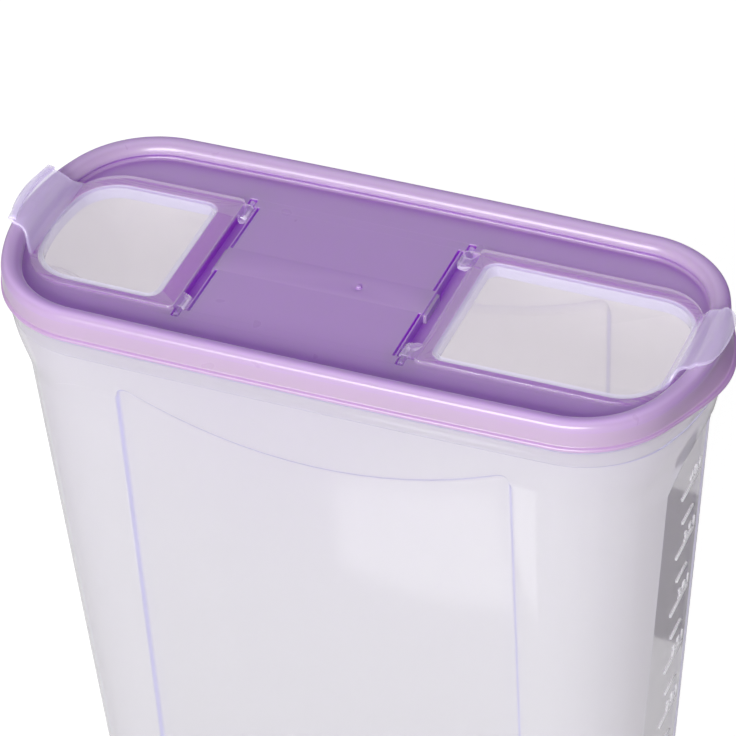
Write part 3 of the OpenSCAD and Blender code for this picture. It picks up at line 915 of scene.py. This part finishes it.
class Nodes:
    """Short ways to add and link shader nodes."""

    def __init__(self, tree):
        self.tree = tree

    def add(self, kind, **links):
        """Adds a node and links sockets to the inputs with these names."""
        node = self.tree.nodes.new("ShaderNode" + kind)
        for key, socket in links.items():
            self.link(socket, node.inputs[key])
        return node

    def link(self, socket, target):
        self.tree.links.new(socket, target)

    def noise(self, place, scale, detail):
        node = self.add("TexNoise", Vector=place)
        node.inputs["Scale"].default_value = scale
        node.inputs["Detail"].default_value = detail
        return node.outputs["Fac"]

    def spread(self, value, to, start=(0, 1), kind="LINEAR"):
        """Maps a value from the range start to the range to."""
        node = self.add("MapRange", Value=value)
        node.interpolation_type = kind
        for key, v in zip(("From Min", "From Max", "To Min", "To Max"), (*start, *to)):
            node.inputs[key].default_value = v
        return node.outputs["Result"]

    def maths(self, operation, a, b):
        """Reckons with a socket and a number or another socket."""
        node = self.add("Math")
        node.operation = operation
        self.link(a, node.inputs[0])
        if isinstance(b, (int, float)):
            node.inputs[1].default_value = b
        else:
            self.link(b, node.inputs[1])
        return node.outputs[0]

    def blend(self, share, a, b):
        """Mixes two shaders by a number or a socket."""
        node = self.add("MixShader")
        if isinstance(share, (int, float)):
            node.inputs["Fac"].default_value = share
        else:
            self.link(share, node.inputs["Fac"])
        self.link(a, node.inputs[1])
        self.link(b, node.inputs[2])
        return node.outputs[0]

    def tint(self, share, base, tone):
        """Lays a tone over the base colour, which is a socket or a value."""
        node = self.add("Mix")
        node.data_type = "RGBA"
        self.link(share, node.inputs["Factor"])
        if isinstance(base, tuple):
            node.inputs["A"].default_value = base
        else:
            self.link(base, node.inputs["A"])
        node.inputs["B"].default_value = tone
        return node.outputs["Result"]

    def rays(self, *kinds):
        """1 for rays of these kinds, otherwise 0."""
        paths = self.add("LightPath").outputs
        seen = paths[kinds[0]]
        for kind in kinds[1:]:
            seen = self.maths("MAXIMUM", seen, paths[kind])
        return seen


def base_colour(tools, place, colour, vary, edge, line, crease_shade, crest):
    """The clouded colour with the painted highlight, the painted shade and the pale edges over it, and the
    share of the edges or lines, or None.
    """
    base = tools.tint(tools.noise(place, *CLOUD), colour, vary)
    marked = None
    # Painted highlight: paler towards the top of the rim, by height below the crest
    if crest:
        height = tools.add("SeparateXYZ", Vector=place).outputs["Z"]
        top = [CREST_Z - d for d in CREST_HIGHLIGHT_FADE]
        base = tools.tint(tools.spread(height, (0, 1), top, "SMOOTHSTEP"), base, crest)
    # Painted shade: deeper purple in creases, where the surface nearby closes round a point
    if crease_shade:
        crease = tools.add("AmbientOcclusion")
        crease.samples = CREASE_RAYS
        crease.only_local = True
        crease.inputs["Distance"].default_value = CREASE_REACH
        base = tools.tint(tools.spread(crease.outputs["AO"], (0, 1), CREASE_OPEN), base, crease_shade)
    # Painted lilac shade along the lines drawn in the mesh: the panels' edges, the shoulder step and under
    # the skirt
    if line:
        drawn = tools.add("Attribute")
        drawn.attribute_name = "line"
        marked = drawn.outputs["Fac"]
        base = tools.tint(marked, base, line)
    # Pale sharp edges: partly thicker plastic and partly a painted highlight
    if edge:
        marked = tools.spread(tools.add("NewGeometry").outputs["Pointiness"], (0, 1), EDGE_POINTINESS)
        base = tools.tint(marked, base, edge)
    return base, marked


def plastic(name, colour, vary, rough, rough_vary, bump, glow, glow_share, clear=0.0,
            clear_tint=(1, 1, 1, 1), edge=None, line=None, crease_shade=None, crest=None):
    """Moulded plastic: a faint cloudiness in its colour, uneven gloss and a very fine moulded grain.

    glow is the colour of the light that comes through the sheet, and clear the share that passes straight on.
    edge is the colour along sharp outer edges, partly thicker plastic and partly a painted highlight, and
    line the painted lilac shade along the lines drawn in the mesh; both let less light pass. The colour for
    creases is a painted shade, and crest is a painted highlight along the top of the rim.
    """
    m = bpy.data.materials.new(name)
    m.use_nodes = True
    tools = Nodes(m.node_tree)
    shader = m.node_tree.nodes["Principled BSDF"]
    shader.inputs["Specular IOR Level"].default_value = 0
    place = tools.add("TexCoord").outputs["Object"]
    base, marked = base_colour(tools, place, colour, vary, edge, line, crease_shade, crest)
    tools.link(base, shader.inputs["Base Color"])
    gloss = tools.spread(tools.noise(place, *SMEAR), (rough - rough_vary, rough + rough_vary))
    skin = tools.add("Bump", Height=tools.noise(place, *GRAIN))
    skin.inputs["Strength"].default_value = bump
    skin.inputs["Distance"].default_value = GRAIN_DEEP
    tools.link(gloss, shader.inputs["Roughness"])
    tools.link(skin.outputs["Normal"], shader.inputs["Normal"])
    surface = shader.outputs[0]
    through = tools.add("BsdfTranslucent")
    through.inputs["Color"].default_value = glow
    surface = tools.blend(glow_share, surface, through.outputs[0])
    if clear:
        window = tools.add("BsdfTransparent")
        window.inputs["Color"].default_value = clear_tint
        share = clear if marked is None else tools.spread(marked, (clear, clear * EDGE_CLEAR))
        surface = tools.blend(share, surface, window.outputs[0])
    # Gloss of the outer skin, which grows towards grazing views
    facing = tools.add("LayerWeight", Normal=skin.outputs["Normal"])
    facing.inputs["Blend"].default_value = 0.5
    steep = tools.maths("POWER", facing.outputs["Facing"], MIRROR_POWER)
    outside = tools.spread(tools.add("NewGeometry").outputs["Backfacing"], (1, 0))
    amount = tools.maths("MULTIPLY", tools.spread(steep, (MIRROR, 1)), outside)
    shine = tools.add("BsdfGlossy", Roughness=gloss, Normal=skin.outputs["Normal"])
    shine.inputs["Color"].default_value = (1, 1, 1, 1)
    surface = tools.blend(amount, surface, shine.outputs[0])
    tools.link(surface, m.node_tree.nodes["Material Output"].inputs["Surface"])
    return m


# The lid's crease colour is a painted shade, and its crest colour a painted highlight along the top of the
# rim
lid_plastic = plastic("lid_plastic", (0.65, 0.58, 0.59, 1), (0.62, 0.55, 0.56, 1), 0.28, 0.015, 0.12,
                      glow=(0.62, 0.08, 0.90, 1), glow_share=0.56, crease_shade=(0.20, 0.04, 0.36, 1),
                      crest=(0.86, 0.76, 0.84, 1))
# The skirt's copy of the lid plastic, with less blue in its glow: a lit copy, painted light for the skirt
# that faces the light
skirt_plastic = plastic("skirt_plastic", (0.65, 0.58, 0.59, 1), (0.62, 0.55, 0.56, 1), 0.28, 0.015, 0.12,
                        glow=(0.62, 0.09, 0.82, 1), glow_share=0.56)
# The tub's line colour is painted lilac shade along the panels' edges and the shoulder step, and a painted
# shadow under the skirt
tub_plastic = plastic("tub_plastic", (0.565, 0.57, 0.60, 1), (0.545, 0.55, 0.58, 1), 0.08, 0.015, 0.05,
                      glow=(0.94, 0.92, 0.93, 1), glow_share=0.60, clear=0.28, line=(0.26, 0.26, 0.62, 1))
mark_plastic = plastic("mark_plastic", (0.82, 0.81, 0.86, 1), (0.80, 0.79, 0.84, 1), 0.3, 0.04, 0.1,
                       glow=(1.0, 1.0, 1.0, 1), glow_share=0.6)
# The flaps' edge colour is paler: partly thicker plastic and partly a painted highlight
flap_plastic = plastic("flap_plastic", (0.86, 0.80, 0.94, 1), (0.83, 0.78, 0.92, 1), 0.14, 0.03, 0.08,
                       glow=(1.0, 0.95, 1.0, 1), glow_share=0.4, clear=0.88,
                       clear_tint=(1.0, 0.985, 0.985, 1), edge=(0.95, 0.94, 1.0, 1))
collar_plastic = plastic("collar_plastic", (0.74, 0.76, 0.98, 1), (0.72, 0.74, 0.96, 1), 0.2, 0.03, 0.08,
                         glow=(0.93, 0.94, 1.0, 1), glow_share=0.5, clear=0.42)
# The tab's copy of the flap plastic, lilac, paler and less clear: painted light from the purple lid below, a
# lit copy
tab_plastic = plastic("tab_plastic", (0.74, 0.66, 1.0, 1), (0.72, 0.64, 0.98, 1), 0.2, 0.03, 0.08,
                      glow=(1.0, 0.95, 0.98, 1), glow_share=0.45, clear=0.64)

# ---- Pieces ----

tub = make_tub(tub_plastic)
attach(tub, "tub")
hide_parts("tub")
for piece in make_scale(mark_plastic):
    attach(piece, "tub")

lid, details = make_lid([lid_plastic, skirt_plastic])
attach(lid, "lid")
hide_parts("lid")
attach(details, "lid")

for name, body, f, tab_out, turn in (("small_flap_body", "small_flap", SMALL, SMALL_TAB_OUT, True),
                                     ("large_flap_body", "large_flap", LARGE, LARGE_TAB_OUT, False)):
    flap = make_flap(name, f, LID_L / 2 + tab_out, turn, [flap_plastic, collar_plastic, tab_plastic])
    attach(flap, body)
    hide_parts(body)

# ---- Camera: fitted to the rim of the lid in the photograph ----

CAMERA_AT = Vector((0.48926, -1.10527, CREST_Z + 0.92539))
LOOK_AT = Vector((0.02023, -0.044776, CREST_Z))
CAMERA_ROLL = math.radians(-3.0194)
FOCAL_PX = 4712.114
FRAME_PX = 736
SENSOR_MM = 36

camera = bpy.data.objects.new("camera", bpy.data.cameras.new("camera"))
bpy.context.scene.collection.objects.link(camera)
camera.data.sensor_width = SENSOR_MM
camera.data.lens = SENSOR_MM * FOCAL_PX / FRAME_PX
camera.data.clip_end = 20
back = (CAMERA_AT - LOOK_AT).normalized()
right = Vector((0, 0, 1)).cross(back).normalized()
up = back.cross(right)
side = right * math.cos(CAMERA_ROLL) + up * math.sin(CAMERA_ROLL)
top = up * math.cos(CAMERA_ROLL) - right * math.sin(CAMERA_ROLL)
camera.matrix_world = Matrix.Translation(CAMERA_AT) @ Matrix((side, top, back)).transposed().to_4x4()
bpy.context.scene.camera = camera

# ---- Floor, light and background ----

FLOOR_HALF = 4
FLOOR_TONE = (0.8, 0.8, 0.8, 1)
FLOOR_GLOW = 1.42
FLOOR_SHARE = 0.65
FILL = 0.22
AIM_Z = CREST_Z * 0.8

# The floor keeps the object's shadow under its glow
floor = Shell()
floor.fill(floor.ring([(x * FLOOR_HALF, y * FLOOR_HALF, 0) for x, y in ((1, 1), (-1, 1), (-1, -1), (1, -1))]))
ground = bpy.data.materials.new("ground")
ground.use_nodes = True
ground.node_tree.nodes.clear()
tools = Nodes(ground.node_tree)
diffuse = tools.add("BsdfDiffuse")
diffuse.inputs["Color"].default_value = FLOOR_TONE
glow = tools.add("Emission")
glow.inputs["Strength"].default_value = FLOOR_GLOW
share = tools.maths("MULTIPLY", tools.rays("Is Camera Ray", "Is Transmission Ray"), FLOOR_SHARE)
tools.add("OutputMaterial", Surface=tools.blend(share, diffuse.outputs[0], glow.outputs[0]))
floor.build("floor", [ground])

# White for the camera, in reflections and through clear plastic, and a low even fill for the rest
world = bpy.data.worlds.new("studio")
bpy.context.scene.world = world
world.use_nodes = True
tools = Nodes(world.node_tree)
sky = world.node_tree.nodes["Background"]
white = tools.rays("Is Camera Ray", "Is Transmission Ray", "Is Glossy Ray")
tools.link(tools.spread(white, (FILL, 1.0)), sky.inputs["Strength"])
sky.inputs["Color"].default_value = (1, 1, 1, 1)


def soft_box(name, azimuth, elevation, distance, width, height, power):
    """A soft box that faces the lid. Azimuth 0 is straight in front, and it grows to the right."""
    data = bpy.data.lights.new(name, "AREA")
    data.shape, data.size, data.size_y, data.energy = "RECTANGLE", width, height, power
    lamp = bpy.data.objects.new(name, data)
    bpy.context.scene.collection.objects.link(lamp)
    a, e = math.radians(azimuth), math.radians(elevation)
    towards = Vector((math.sin(a) * math.cos(e), -math.cos(a) * math.cos(e), math.sin(e)))
    lamp.location = Vector((0, 0, AIM_Z)) + towards * distance
    lamp.rotation_euler = towards.to_track_quat("Z", "Y").to_euler()


soft_box("key", azimuth=0, elevation=24, distance=1.7, width=1.3, height=0.6, power=45)


def card(name, corners, strength):
    """A flat card that shows in reflections only."""
    plane = Shell()
    plane.fill(plane.ring(corners))
    paper = bpy.data.materials.new(name)
    paper.use_nodes = True
    paper.node_tree.nodes.clear()
    tools = Nodes(paper.node_tree)
    light = tools.add("Emission")
    light.inputs["Strength"].default_value = strength
    tools.add("OutputMaterial", Surface=light.outputs[0])
    piece = plane.build(name, [paper])
    piece.visible_camera = piece.visible_diffuse = piece.visible_shadow = False
    piece.visible_transmission = piece.visible_volume_scatter = False


# A bright card on the floor in front, which the side panel mirrors, and a dark one that the end panel mirrors
BRIGHT_CARD = [(-0.098, -0.258), (-0.030, -0.272), (0.003, -0.214), (-0.042, -0.211), (-0.078, -0.216)]
BRIGHT_CARD_Z = 0.001
DARK_CARD = [(0.09, 0.002), (0.2, 0.002), (0.2, 0.077), (0.09, 0.079)]
DARK_CARD_Y = 0.15
card("bright_card", [(x, y, BRIGHT_CARD_Z) for x, y in BRIGHT_CARD], strength=2.4)
card("dark_card", [(x, DARK_CARD_Y, z) for x, z in DARK_CARD], strength=0.0)

bpy.context.scene.view_settings.view_transform = "Standard"
